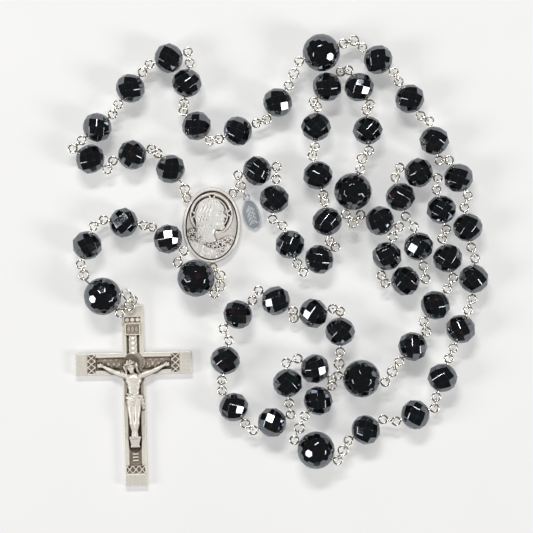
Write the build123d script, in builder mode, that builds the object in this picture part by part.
"""Five-decade rosary, laid out flat: faceted beads on wire eye pins, links, medal, tag and crucifix.

Units are millimetres. The rosary rests on the plane z = 0, with +Y towards its top and +Z up. The
origin is under the middle of the whole layout.
"""
from build123d import *
import math
import os

os.makedirs("parts", exist_ok=True)

# ---------------------------------------------------------------- driving dimensions
SMALL_RADIUS = 4.1        # small bead, over the corners of its facets
LARGE_RADIUS = 5.1        # large bead, over the corners of its facets
SMALL_FACET = 3.79        # middle of a small bead's facets from the bead's middle
LARGE_FACET = 4.98        # middle of a large bead's facets from the bead's middle
BORE_CLEARANCE = 0.09     # radial, between a pin and its bead
ROLL_STEP = 17.0          # degrees that each bead is turned on its pin past the one before

PIN_WIRE = 0.27           # wire radius of the eye pins
EYE_RADIUS = 1.08         # eye loop, to the middle of the wire
EYE_OFFSET = 1.35         # centre of the eye loop beyond the bead's radius
EYE_BITE = 0.06           # the shaft ends this far short of the eye wire's centre line
LINK_WIRE = 0.25          # wire radius of the links
LINK_RADIUS = 1.25        # link, to the middle of the wire
FLOOR_GAP = 0.12          # least height of a standing link over the table

MEDAL_HALF_WIDTH = 7.9
MEDAL_HALF_HEIGHT = 10.2
MEDAL_THICKNESS = 2.2
MEDAL_RIM = 0.75
MEDAL_RECESS = 0.55
MEDAL_LEAN = 2.0          # degrees, clockwise
RIM_CHAMFER = 0.25
NIMBUS_CENTRE = (0.5, 4.0)
NIMBUS_RADIUS = 4.3
NIMBUS_WIDTH = 0.5
RELIEF = 0.45             # greatest height of the relief over the medal's rim
FLOWER_PLACES = ((-5.0, -2.4), (3.2, -4.6))
FLOWER_RADIUS = 1.2
EYELET_RADIUS = 1.05      # eyelets of the medal and the cross, to the middle of the wire
EYELET_WIRE = 0.3
EYELET_LIFT = 0.1         # medal eyelets over the middle of the medal's thickness
NECK_RADIUS = 0.5         # neck that joins an eyelet to the edge behind it
NECK_LENGTH = 1.0

CROSS_HEIGHT = 48.8
CROSS_SPAN = 31.4
CROSS_BEAM = 6.0
CROSS_BAR_DROP = 15.8     # middle of the bar below the top of the cross
CROSS_THICKNESS = 2.0
CROSS_RECESS = 0.45
CROSS_BORDER = 0.6
CROSS_LEAN = 1.4          # degrees, foot to the right
EDGE_CHAMFER = 0.2
ORNAMENT_RELIEF = 0.25    # height of the ribs over the sunk face of the cross
RIB_WIDTH = 0.3
CAP_LINES = 4             # fine cross lines at the end of each arm
CAP_PITCH = 0.55
KNOB_RADIUS = 0.55
KNOB_PITCH = 1.5
LATTICE_SIZE = 3.6        # one X of the lattice, along the arm
HALO_RADIUS = 2.3
PLAQUE_WIDTH = 4.1
PLAQUE_HEIGHT = 3.2
PLAQUE_THICKNESS = 0.85
PLAQUE_CENTRE = (0.0, 9.3)
FOOTREST_CENTRE = (0.0, -21.0)
FOOTREST_SIZE = (3.0, 2.6, 1.0)
STEP_ROWS = (-24.2, -25.1, -26.0)
CROSS_RING_RADIUS = 2.45
CROSS_RING_LEAN = 20.0    # degrees out of upright
CROSS_RING_HEADING = 120.0    # degrees, from the eyelet towards the ring's far end
CROSS_RING_GAP = 0.2      # least height of the ring over the table
CROSS_EYELET_LIFT = 0.3   # eyelet over the middle of the cross's thickness

TAG_LENGTH = 8.4
TAG_WIDTH = 4.8
TAG_THICKNESS = 0.6
TAG_LOOP_RADIUS = 0.8
TAG_RIM = 0.35
TAG_SUNK = 0.12

# Rounded forms of the bust on the medal: middle, radii and turn in degrees, on the medal's sunk face.
BUST_FORMS = {
    "face": ((0.6, 3.9), (2.1, 2.6, 0.9), 8),
    "hair": ((-0.6, 4.2), (2.3, 2.9, 0.75), 14),
    "beard": ((1.6, 2.0), (1.1, 1.3, 0.65), -20),
    "neck": ((-0.3, 0.3), (1.7, 2.4, 0.7), 5),
    "robe, near shoulder": ((-2.6, -4.4), (3.9, 4.6, 0.85), 28),
    "robe, far shoulder": ((1.9, -5.2), (3.9, 3.6, 0.8), -24),
}
FLOWER_RISE = 1.0

# The figure on the cross: x across, y up from the middle of the bar, z over the cross's back.
FIGURE_MIDDLE = 2.75      # height of the middle of the chest
SHOULDER, ELBOW, WRIST = (2.2, -3.1, 2.9), (5.3, -2.0, 2.6), (8.2, -0.6, 2.35)
HIP, KNEE, ANKLE = (1.0, -9.6, 2.7), (0.85, -14.9, 3.3), (0.35, -18.4, 2.7)
UPPER_ARM, FOREARM = (0.85, 0.62), (0.58, 0.4)        # radius at the start and the end of the limb
THIGH, SHIN = (1.05, 0.78), (0.72, 0.45)
FLANK_TOP, FLANK_FOOT, FLANK = (0.55, -5.0, FIGURE_MIDDLE), (0.5, -8.9, FIGURE_MIDDLE), (1.1, 1.05)
NECK, NECK_FOOT = (0.8, 0.7), (0, -3.0, FIGURE_MIDDLE)
HEAD_CENTRE = (-0.35, -0.9, 3.25)
HEAD_TILT = 14.0          # degrees, towards the figure's right shoulder
TORSO_FORMS = {
    "chest": ((0, -4.2, FIGURE_MIDDLE), (2.3, 2.2, 1.3), 0),
    "loincloth": ((0, -9.7, FIGURE_MIDDLE), (2.15, 1.9, 1.35), 0),
    "head": (HEAD_CENTRE, (1.2, 1.55, 1.2), HEAD_TILT),
    "beard": ((-0.1, -2.2, 3.55), (0.7, 0.75, 0.7), HEAD_TILT),
    "hair": ((-0.35, -0.75, 2.6), (1.75, 1.85, 0.95), HEAD_TILT),
}
HAND_CENTRE, HAND_SIZE, HAND_TURN = (8.85, -0.35, 2.25), (0.85, 0.5, 0.4), 20
FOOT_CENTRE, FOOT_SIZE = (0.4, -19.3, 2.5), (0.5, 1.1, 0.55)

# Facet rows of the beads: degrees from the girdle towards the bore, and facets in the row.
SMALL_ROWS = ((0.0, 8), (22.5, 8), (41.9, 8), (56.8, 8), (67.5, 8))
LARGE_ROWS = ((0.0, 16), (18.5, 16), (37.0, 16), (54.5, 12), (71.0, 8))

# ---------------------------------------------------------------- layout on the table
# One entry for each bead: x, y, heading of its pin towards the next bead, and the pin's rise
# towards the next bead, in millimetres and degrees.
DECADE_1 = [
    (-29.4, 24.7, 129, 13), (-39.7, 28.5, 197, -5), (-51.0, 27.4, 149, 0), (-49.1, 35.9, 40, 0),
    (-40.2, 46.4, 53, 0), (-29.9, 54.5, 18, 0), (-25.0, 47.8, 262, 0), (-22.4, 36.3, 312, 8),
    (-11.3, 34.9, 23, 0), (-0.6, 42.6, 57, 0),
]
DECADE_2 = [
    (26.4, 54.1, 321, 8), (34.9, 43.6, 303, 0), (41.5, 32.3, 284, 0), (48.0, 22.3, 297, 8),
    (50.5, 9.0, 280, 0), (52.1, -4.8, 266, 0), (48.6, -18.3, 249, 0), (43.7, -31.4, 252, 0),
    (36.4, -41.3, 199, 0), (23.1, -45.4, 211, 0),
]
DECADE_3 = [
    (10.3, -37.6, 48, 0), (9.4, -29.0, 149, 8), (2.1, -32.8, 274, 0), (-2.1, -43.4, 203, 0),
    (-12.4, -39.3, 125, 0), (-14.7, -26.7, 80, 0), (-11.3, -14.4, 44, 0), (-1.1, -10.7, 329, 0),
    (9.0, -14.1, 14, 8), (16.2, -19.0, 270, 0),
]
DECADE_4 = [
    (35.7, -23.0, 48, 0), (41.8, -11.9, 54, 0), (45.1, 0.7, 106, 0), (43.4, 13.8, 104, 0),
    (37.3, 23.7, 165, 8), (32.4, 17.2, 285, 0), (37.3, 3.9, 284, 0), (33.7, -5.4, 186, 0),
    (28.8, 1.3, 74, 8), (26.9, 10.8, 163, 0),
]
DECADE_5_UPPER = [(23.6, 35.1, 94, 0), (21.3, 46.7, 123, 8), (12.7, 46.8, 228, 0), (9.7, 36.0, 267, 8)]
DECADE_5_LOWER = [
    (10.2, 23.0, 286, 0), (12.7, 10.6, 277, 8), (10.6, 0.4, 218, 0), (2.7, 4.4, 111, 0),
    (-1.5, 16.6, 85, 6), (-6.1, 24.2, 192, -12),
]
OUR_FATHERS = [(11.1, 55.9, 22, 0), (9.7, -50.8, 155, 0), (21.9, -31.6, 352, 0), (19.6, 18.6, 72, -8)]
PENDANT = [(-22.5, -4.6, 140, 0), (-30.1, 5.9, 143, -9.5), (-42.0, 10.3, 172, -1), (-51.8, 4.2, 251, 0),
           (-47.6, -9.5, 316, -4)]
PENDANT_RADII = (LARGE_RADIUS, SMALL_RADIUS, SMALL_RADIUS, SMALL_RADIUS, LARGE_RADIUS)

MEDAL_CENTRE = (-18.4, 9.6)
MEDAL_EYELETS = {"left": (-25.1, 17.0), "right": (-12.6, 18.4), "foot": (-18.0, -1.8)}
CROSS_CENTRE = (-39.5, -27.7)
CROSS_EYELET = (-39.6, -10.6)
TAG_LOOP = (-9.1, 17.2, 1.3)
TAG_HEADING = 287         # from the loop towards the tag's far end
TAG_DROP = 5.0            # degrees, the far end lies lower

# Places of the flat links that lie part-way along a chain of three or five links.
MEDAL_LEFT_WAY = [(-25.6, 19.3, 2.4)]
MEDAL_RIGHT_WAY = [(-10.6, 20.1, 2.1)]
MEDAL_FOOT_WAY = [(-16.1, -3.9, 2.45), (-16.1, -6.7, 3.75)]
PENDANT_4_5_WAY = [(-52.6, -3.8, 5.25)]
CRUCIFIX_WAY = [(-40.5, -12.0, 3.5)]
BOW_BEFORE = (0.0, 0.0, 0.0, 2.2)     # sideways bow of the chain before each Our Father bead
BOW_AFTER = (1.35, 0.0, 0.0, 0.8)     # sideways bow of the chain after each Our Father bead


# ---------------------------------------------------------------- places of beads, eyes and links
def bead_plane(entry, radius):
    """Plane at a bead's middle: X along its pin towards the next bead, Z square to its eye loops."""
    x, y, heading, rise = entry
    along = Vector(1, 0, 0).rotate(Axis.Y, -rise).rotate(Axis.Z, heading)
    upward = Vector(0, 0, 1).rotate(Axis.Y, -rise).rotate(Axis.Z, heading)
    return Plane(origin=(x, y, radius), x_dir=along, z_dir=upward)


def eye(plane, radius, side, upright=False):
    """Plane of one eye loop of a bead's pin; side is 1 towards the next bead and -1 towards the last."""
    reach = side * (radius + EYE_OFFSET)
    normal = plane.y_dir if upright else plane.z_dir
    return Plane(origin=plane.from_local_coords((reach, 0, 0)), x_dir=plane.x_dir, z_dir=normal)


def flat_ring(x, y, z):
    return Plane(origin=(x, y, z))


def near_point(ring, ring_radius, target):
    """Point on a ring's wire that lies nearest the target."""
    toward = target - ring.origin
    in_plane = toward - ring.z_dir * toward.dot(ring.z_dir)
    return ring.origin + in_plane.normalized() * ring_radius


def standing_link(ring_a, radius_a, ring_b, radius_b):
    """Plane of an upright link that is threaded through two flat rings."""
    point_a = near_point(ring_a, radius_a, ring_b.origin)
    point_b = near_point(ring_b, radius_b, ring_a.origin)
    middle = (point_a + point_b) * 0.5
    height = max(middle.Z, LINK_RADIUS + LINK_WIRE + FLOOR_GAP)
    chord = ring_b.origin - ring_a.origin
    across = Vector(chord.Y, -chord.X, 0).normalized()
    return Plane(origin=(middle.X, middle.Y, height), x_dir=(0, 0, 1), z_dir=across)


def is_flat(ring):
    return abs(ring.z_dir.Z) > 0.7


def chain(ring_a, radius_a, way, ring_b, radius_b):
    """Planes of the links from ring_a to ring_b.

    Flat links lie at the places in way, and an upright link joins each two flat rings that follow
    each other. An upright eye at the end takes the last flat link directly.
    """
    links = []
    last, last_radius = ring_a, radius_a
    for place in way:
        flat = flat_ring(*place)
        links += [standing_link(last, last_radius, flat, LINK_RADIUS), flat]
        last, last_radius = flat, LINK_RADIUS
    if is_flat(ring_b):
        links.append(standing_link(last, last_radius, ring_b, radius_b))
    return links


def halfway(ring_a, ring_b, aside):
    """Place between two rings, set off to the left of the line from a to b by aside."""
    middle = (ring_a.origin + ring_b.origin) * 0.5
    chord = ring_b.origin - ring_a.origin
    left = Vector(-chord.Y, chord.X, 0).normalized()
    place = middle + left * aside
    return (place.X, place.Y, place.Z)


class Strand:
    """A stretch of beads on their pins, with the single links between them."""

    def __init__(self, entries, radius=SMALL_RADIUS, first_upright=False):
        self.radius = radius
        self.first_upright = first_upright
        self.planes = [bead_plane(entry, radius) for entry in entries]
        self.first_eye = eye(self.planes[0], radius, -1, first_upright)
        self.last_eye = eye(self.planes[-1], radius, 1)
        self.links = []
        for before, after in zip(self.planes, self.planes[1:]):
            self.links.append(single_link(eye(before, radius, 1), eye(after, radius, -1)))


def single_link(eye_a, eye_b):
    return standing_link(eye_a, EYE_RADIUS, eye_b, EYE_RADIUS)


decades = {
    "decade_1": Strand(DECADE_1, first_upright=True),
    "decade_2": Strand(DECADE_2),
    "decade_3": Strand(DECADE_3),
    "decade_4": Strand(DECADE_4),
    "decade_5_upper": Strand(DECADE_5_UPPER),
    "decade_5_lower": Strand(DECADE_5_LOWER),
}
our_fathers = [Strand([entry], LARGE_RADIUS) for entry in OUR_FATHERS]
pendant = [Strand([entry], radius, first_upright=(number == 4))
           for number, (entry, radius) in enumerate(zip(PENDANT, PENDANT_RADII))]


def bowed_chain(eye_a, eye_b, bow):
    """Chain of three links between two flat eyes, its middle set off to the left by bow."""
    return chain(eye_a, EYE_RADIUS, [halfway(eye_a, eye_b, bow)], eye_b, EYE_RADIUS)


medal_eyelets = {side: flat_ring(x, y, MEDAL_THICKNESS / 2 + EYELET_LIFT)
                 for side, (x, y) in MEDAL_EYELETS.items()}
medal_links_left = chain(medal_eyelets["left"], EYELET_RADIUS, MEDAL_LEFT_WAY,
                         decades["decade_1"].first_eye, EYE_RADIUS)
medal_links_right = chain(medal_eyelets["right"], EYELET_RADIUS, MEDAL_RIGHT_WAY,
                          decades["decade_5_lower"].last_eye, EYE_RADIUS)
medal_pendant_links = chain(medal_eyelets["foot"], EYELET_RADIUS, MEDAL_FOOT_WAY,
                            pendant[0].first_eye, EYE_RADIUS)
loop_order = [decades["decade_1"], our_fathers[0], decades["decade_2"], our_fathers[1],
              decades["decade_3"], our_fathers[2], decades["decade_4"], our_fathers[3],
              decades["decade_5_upper"]]
our_father_links = []
for number in range(4):
    before, bead, after = loop_order[2 * number:2 * number + 3]
    our_father_links.append(bowed_chain(before.last_eye, bead.first_eye, BOW_BEFORE[number])
                            + bowed_chain(bead.last_eye, after.first_eye, BOW_AFTER[number]))
mid_decade_link = [single_link(decades["decade_5_upper"].last_eye, decades["decade_5_lower"].first_eye)]
pendant_links = {
    "pendant_link_1_2": [single_link(pendant[0].last_eye, pendant[1].first_eye)],
    "pendant_link_2_3": [single_link(pendant[1].last_eye, pendant[2].first_eye)],
    "pendant_link_3_4": [single_link(pendant[2].last_eye, pendant[3].first_eye)],
    "pendant_links_4_5": chain(pendant[3].last_eye, EYE_RADIUS, PENDANT_4_5_WAY,
                               pendant[4].first_eye, EYE_RADIUS),
}

# The crucifix hangs on a large jump ring that leans over; two links join it to the last bead.
cross_eyelet = flat_ring(*CROSS_EYELET, CROSS_THICKNESS / 2 + CROSS_EYELET_LIFT)
ring_along = Vector(1, 0, 0).rotate(Axis.Z, CROSS_RING_HEADING)
ring_side = Vector(0, -1, 0).rotate(Axis.Z, CROSS_RING_HEADING)
ring_up = Vector(0, 0, 1) * math.cos(math.radians(CROSS_RING_LEAN)) - ring_side * math.sin(
    math.radians(CROSS_RING_LEAN))
ring_normal = ring_along.cross(ring_up)
ring_height = CROSS_RING_RADIUS + LINK_WIRE + CROSS_RING_GAP
dip = (ring_height - cross_eyelet.origin.Z) / CROSS_RING_RADIUS / ring_up.Z
hook = ring_along * (-math.sqrt(1 - dip * dip)) - ring_up * dip
ring_middle = cross_eyelet.origin - hook * CROSS_RING_RADIUS
crucifix_ring_plane = Plane(origin=ring_middle, x_dir=ring_along, z_dir=ring_normal)
crucifix_links = chain(pendant[4].last_eye, EYE_RADIUS, CRUCIFIX_WAY, crucifix_ring_plane, CROSS_RING_RADIUS)

tag_down = Vector(1, 0, 0).rotate(Axis.Y, TAG_DROP).rotate(Axis.Z, TAG_HEADING)
tag_normal = Vector(0, 0, 1).rotate(Axis.Y, TAG_DROP).rotate(Axis.Z, TAG_HEADING)
tag_plane = Plane(origin=TAG_LOOP, x_dir=tag_down, z_dir=tag_normal)
tag_ring_plane = standing_link(flat_ring(*MEDAL_RIGHT_WAY[0]), LINK_RADIUS, tag_plane, TAG_LOOP_RADIUS)
# ---------------------------------------------------------------- end of the layout


# ---------------------------------------------------------------- beads
def cut_facets(facet, rows):
    """Plane the current part down to rows of facets round the X axis; odd rows are staggered."""
    for number, (latitude, count) in enumerate(rows):
        slope = math.radians(latitude)
        for side in ((1,) if latitude == 0 else (1, -1)):
            for place in range(count):
                turn = 2 * math.pi * (place + 0.5 * (number % 2)) / count
                normal = Vector(side * math.sin(slope), math.cos(slope) * math.cos(turn),
                                math.cos(slope) * math.sin(turn))
                split(bisect_by=Plane(origin=normal * facet, z_dir=normal), keep=Keep.BOTTOM)


def build_bead(radius, facet, rows):
    """One faceted bead, bored along X."""
    with BuildPart() as bead:
        Box(2 * facet, 2 * radius, 2 * radius)
        cut_facets(facet, rows)
        Cylinder(PIN_WIRE + BORE_CLEARANCE, 2 * radius, rotation=(0, 90, 0), mode=Mode.SUBTRACT)
    return bead.part


def rolled(planes):
    """Places of the beads, each turned about its pin by its own angle as loose beads come to lie."""
    return [plane.location * Location((0, 0, 0), (ROLL_STEP * number, 0, 0))
            for number, plane in enumerate(planes, 1)]


small_bead = build_bead(SMALL_RADIUS, SMALL_FACET, SMALL_ROWS)
large_bead = build_bead(LARGE_RADIUS, LARGE_FACET, LARGE_ROWS)


# ---------------------------------------------------------------- eye pins and links
def build_pin(radius, first_upright=False):
    """Straight wire along X through a bead of this radius, with an eye loop at each end."""
    reach = radius + EYE_OFFSET
    shaft = 2 * (reach - EYE_RADIUS - EYE_BITE)
    with BuildPart() as pin:
        Cylinder(PIN_WIRE, shaft, rotation=(0, 90, 0))
        with Locations((reach, 0, 0)):
            Torus(EYE_RADIUS, PIN_WIRE)
        with Locations((-reach, 0, 0)):
            Torus(EYE_RADIUS, PIN_WIRE, rotation=(90 if first_upright else 0, 0, 0))
    return pin.part


small_pin = build_pin(SMALL_RADIUS)
small_pin_upright = build_pin(SMALL_RADIUS, first_upright=True)
large_pin = build_pin(LARGE_RADIUS)
large_pin_upright = build_pin(LARGE_RADIUS, first_upright=True)


def save(part, name):
    part.label = name
    export_step(part, f"parts/{name}.step")


def save_links(planes, name):
    with BuildPart() as links:
        with Locations(*planes):
            Torus(LINK_RADIUS, LINK_WIRE)
    save(links.part, name)


for name, strand in decades.items():
    with BuildPart() as beads:
        with Locations(*rolled(strand.planes)):
            add(small_bead)
    save(beads.part, f"{name}_beads")
    with BuildPart() as pins:
        with Locations(strand.planes[0]):
            add(small_pin_upright if strand.first_upright else small_pin)
        with Locations(*strand.planes[1:]):
            add(small_pin)
    save(pins.part, f"{name}_pins")
    save_links(strand.links, f"{name}_links")

for number, strand in enumerate(our_fathers, 1):
    with BuildPart() as bead:
        with Locations(*rolled(strand.planes)):
            add(large_bead)
    save(bead.part, f"our_father_bead_{number}")
    with BuildPart() as pin:
        with Locations(*strand.planes):
            add(large_pin)
    save(pin.part, f"our_father_pin_{number}")
    save_links(our_father_links[number - 1], f"our_father_links_{number}")

pendant_shapes = [
    ("pendant_large_bead_1", large_bead, "pendant_large_pin_1", large_pin),
    ("pendant_small_bead_1", small_bead, "pendant_small_pin_1", small_pin),
    ("pendant_small_bead_2", small_bead, "pendant_small_pin_2", small_pin),
    ("pendant_small_bead_3", small_bead, "pendant_small_pin_3", small_pin),
    ("pendant_large_bead_2", large_bead, "pendant_large_pin_2", large_pin_upright),
]
for (bead_name, bead_shape, pin_name, pin_shape), strand in zip(pendant_shapes, pendant):
    with BuildPart() as bead:
        with Locations(*rolled(strand.planes)):
            add(bead_shape)
    save(bead.part, bead_name)
    with BuildPart() as pin:
        with Locations(*strand.planes):
            add(pin_shape)
    save(pin.part, pin_name)
for name, planes in pendant_links.items():
    save_links(planes, name)
save_links(mid_decade_link, "mid_decade_link")
save_links(medal_links_left, "medal_links_left")
save_links(medal_links_right, "medal_links_right")
save_links(medal_pendant_links, "medal_pendant_links")
save_links(crucifix_links, "crucifix_links")
save_links([tag_ring_plane], "tag_ring")


# ---------------------------------------------------------------- shapes shared by medal and crucifix

def eyelet(ring, toward):
    """Round eyelet with the short neck that joins it to the edge it stands on."""
    near = near_point(ring, EYELET_RADIUS, toward)
    with Locations(ring):
        Torus(EYELET_RADIUS, EYELET_WIRE)
    with Locations(Plane(origin=near, z_dir=toward - near)):
        Cylinder(NECK_RADIUS, NECK_LENGTH, align=(Align.CENTER, Align.CENTER, Align.MIN))


def ellipsoid(centre, radii, tilt=0.0):
    """Ellipsoid added to the current part; tilt turns it about +Z in degrees."""
    ball = scale(Sphere(1, mode=Mode.PRIVATE), by=radii, mode=Mode.PRIVATE)
    with Locations(Location(centre, (0, 0, tilt))):
        add(ball)


def limb(start, end, start_radius, end_radius):
    """Tapered round limb with ball ends, added to the current part."""
    start, end = Vector(start), Vector(end)
    along = end - start
    with Locations(Plane(origin=start, z_dir=along)):
        Cone(start_radius, end_radius, along.length, align=(Align.CENTER, Align.CENTER, Align.MIN))
    with Locations(start):
        Sphere(start_radius)
    with Locations(end):
        Sphere(end_radius)


# ---------------------------------------------------------------- centre medal
medal_plane = Plane(origin=MEDAL_CENTRE).rotated((0, 0, -MEDAL_LEAN))
medal_floor = MEDAL_THICKNESS - MEDAL_RECESS

with BuildPart() as bust:
    for (x, y), radii, turn in BUST_FORMS.values():
        ellipsoid((x, y, medal_floor), radii, turn)
    for x, y in FLOWER_PLACES:
        ellipsoid((x, y, medal_floor), (FLOWER_RADIUS, FLOWER_RADIUS, FLOWER_RISE))
    with BuildSketch(Plane.XY.offset(medal_floor)):
        Ellipse(MEDAL_HALF_WIDTH - MEDAL_RIM, MEDAL_HALF_HEIGHT - MEDAL_RIM)
    extrude(amount=MEDAL_RECESS + RELIEF, mode=Mode.INTERSECT)

with BuildPart() as medal_plate:
    with BuildSketch() as outline:
        Ellipse(MEDAL_HALF_WIDTH, MEDAL_HALF_HEIGHT)
    extrude(amount=MEDAL_THICKNESS)
    rim_edges = medal_plate.edges().group_by(Axis.Z)
    chamfer(rim_edges[-1] + rim_edges[0], RIM_CHAMFER)
    with BuildSketch(Plane.XY.offset(medal_floor)) as sunk_field:
        Ellipse(MEDAL_HALF_WIDTH - MEDAL_RIM, MEDAL_HALF_HEIGHT - MEDAL_RIM)
    extrude(amount=MEDAL_RECESS, mode=Mode.SUBTRACT)
    with BuildSketch(Plane.XY.offset(medal_floor)) as nimbus:
        with Locations(NIMBUS_CENTRE):
            Circle(NIMBUS_RADIUS)
            Circle(NIMBUS_RADIUS - NIMBUS_WIDTH, mode=Mode.SUBTRACT)
    extrude(amount=RELIEF / 2)
    add(bust.part)

with BuildPart() as centre_medal:
    with Locations(medal_plane):
        add(medal_plate.part)
    for ring in medal_eyelets.values():
        eyelet(ring, Vector(*MEDAL_CENTRE, ring.origin.Z))
save(centre_medal.part, "centre_medal")


# ---------------------------------------------------------------- crucifix
cross_plane = Plane(origin=CROSS_CENTRE).rotated((0, 0, CROSS_LEAN))
cross_floor = CROSS_THICKNESS - CROSS_RECESS
cross_foot = CROSS_BAR_DROP - CROSS_HEIGHT
panel_width = CROSS_BEAM - 2 * CROSS_BORDER
on_face = (Align.CENTER, Align.CENTER, Align.MIN)


def cross_outline(inset):
    """Face of the cross in the current sketch, drawn in from its edge by inset."""
    with Locations((0, (CROSS_BAR_DROP + cross_foot) / 2)):
        Rectangle(CROSS_BEAM - 2 * inset, CROSS_HEIGHT - 2 * inset)
    Rectangle(CROSS_SPAN - 2 * inset, CROSS_BEAM - 2 * inset)


def end_ornament(turn, reach, knobs):
    """Fine cross lines near the end of the arm that points to turn degrees from +Y, and beside them
    a row of knobs or an X lattice.
    """
    cap_start = reach - CROSS_BORDER
    knob_row = cap_start - CAP_PITCH * (CAP_LINES + 1) - KNOB_RADIUS
    lattice_middle = cap_start - CAP_PITCH * (CAP_LINES + 1) - LATTICE_SIZE / 2
    with Locations(Location((0, 0, cross_floor), (0, 0, turn))):
        with Locations(*[(0, cap_start - CAP_PITCH * (line + 1), 0) for line in range(CAP_LINES)]):
            Box(panel_width, RIB_WIDTH, ORNAMENT_RELIEF, align=on_face)
        if knobs:
            with Locations((0, knob_row, 0)):
                with GridLocations(KNOB_PITCH, 1, 3, 1):
                    Sphere(KNOB_RADIUS)
            return
        with Locations((0, lattice_middle, 0)):
            Box(RIB_WIDTH, LATTICE_SIZE * math.sqrt(2), ORNAMENT_RELIEF, rotation=(0, 0, 45), align=on_face)
            Box(RIB_WIDTH, LATTICE_SIZE * math.sqrt(2), ORNAMENT_RELIEF, rotation=(0, 0, -45), align=on_face)


with BuildPart() as plain_cross:
    with BuildSketch():
        cross_outline(0)
    extrude(amount=CROSS_THICKNESS)
    rim_edges = plain_cross.edges().group_by(Axis.Z)
    chamfer(rim_edges[-1] + rim_edges[0], EDGE_CHAMFER)
    with BuildSketch(Plane.XY.offset(cross_floor)):
        cross_outline(CROSS_BORDER)
    extrude(amount=CROSS_RECESS, mode=Mode.SUBTRACT)

with BuildPart() as ornamented_cross:
    add(plain_cross.part)
    end_ornament(0, CROSS_BAR_DROP, knobs=True)
    end_ornament(90, CROSS_SPAN / 2, knobs=False)
    end_ornament(180, -cross_foot, knobs=False)
    end_ornament(270, CROSS_SPAN / 2, knobs=False)
    with Locations(*[(0, row, cross_floor) for row in STEP_ROWS]):
        Box(panel_width, RIB_WIDTH, ORNAMENT_RELIEF, align=on_face)

with BuildPart() as crucifix_cross:
    with Locations(cross_plane):
        add(ornamented_cross.part)
    eyelet(cross_eyelet, Vector(*CROSS_CENTRE, cross_eyelet.origin.Z))
save(crucifix_cross.part, "crucifix_cross")

with BuildPart() as plaque:
    with Locations((*PLAQUE_CENTRE, cross_floor)):
        Box(PLAQUE_WIDTH, PLAQUE_HEIGHT, PLAQUE_THICKNESS, align=on_face)
    chamfer(plaque.edges().group_by(Axis.Z)[-1], EDGE_CHAMFER / 2)
    with Locations((*PLAQUE_CENTRE, cross_floor + PLAQUE_THICKNESS)):
        with GridLocations(PLAQUE_WIDTH / 4, 1, 3, 1):
            Box(RIB_WIDTH, PLAQUE_HEIGHT / 2, ORNAMENT_RELIEF, rotation=(0, 0, 30))
with BuildPart() as title_plaque:
    with Locations(cross_plane):
        add(plaque.part)
save(title_plaque.part, "title_plaque")

with BuildPart() as figure:
    limb(NECK_FOOT, HEAD_CENTRE, *NECK)
    for centre, radii, turn in TORSO_FORMS.values():
        ellipsoid(centre, radii, turn)
    for side in (1, -1):
        joints = (SHOULDER, ELBOW, WRIST, HAND_CENTRE, FLANK_TOP, FLANK_FOOT, HIP, KNEE, ANKLE, FOOT_CENTRE)
        mirrored = [(side * x, y, z) for x, y, z in joints]
        shoulder, elbow, wrist, hand, flank_top, flank_foot, hip, knee, ankle, foot = mirrored
        limb(flank_top, flank_foot, *FLANK)
        limb(shoulder, elbow, *UPPER_ARM)
        limb(elbow, wrist, *FOREARM)
        ellipsoid(hand, HAND_SIZE, side * HAND_TURN)
        limb(hip, knee, *THIGH)
        limb(knee, ankle, *SHIN)
        ellipsoid(foot, FOOT_SIZE)
    with Locations((*FOOTREST_CENTRE, cross_floor)):
        Box(*FOOTREST_SIZE, align=on_face)
    split(bisect_by=Plane.XY.offset(cross_floor), keep=Keep.TOP)
    add(plain_cross.part, mode=Mode.SUBTRACT)
with BuildPart() as corpus:
    with Locations(cross_plane):
        add(figure.part)
save(corpus.part, "corpus")

with BuildPart() as crucifix_ring:
    with Locations(crucifix_ring_plane):
        Torus(CROSS_RING_RADIUS, LINK_WIRE)
save(crucifix_ring.part, "crucifix_ring")


# ---------------------------------------------------------------- identity tag
with BuildPart() as tag_plate:
    with BuildSketch(Plane.XY.offset(-TAG_THICKNESS / 2)):
        with Locations((TAG_LOOP_RADIUS + TAG_LENGTH / 2, 0)):
            Ellipse(TAG_LENGTH / 2, TAG_WIDTH / 2)
    extrude(amount=TAG_THICKNESS)
    with BuildSketch(Plane.XY.offset(TAG_THICKNESS / 2 - TAG_SUNK)):
        with Locations((TAG_LOOP_RADIUS + TAG_LENGTH / 2, 0)):
            Ellipse(TAG_LENGTH / 2 - TAG_RIM, TAG_WIDTH / 2 - TAG_RIM)
    extrude(amount=TAG_SUNK, mode=Mode.SUBTRACT)
    Torus(TAG_LOOP_RADIUS, LINK_WIRE)
with BuildPart() as identity_tag:
    with Locations(tag_plane):
        add(tag_plate.part)
save(identity_tag.part, "identity_tag")
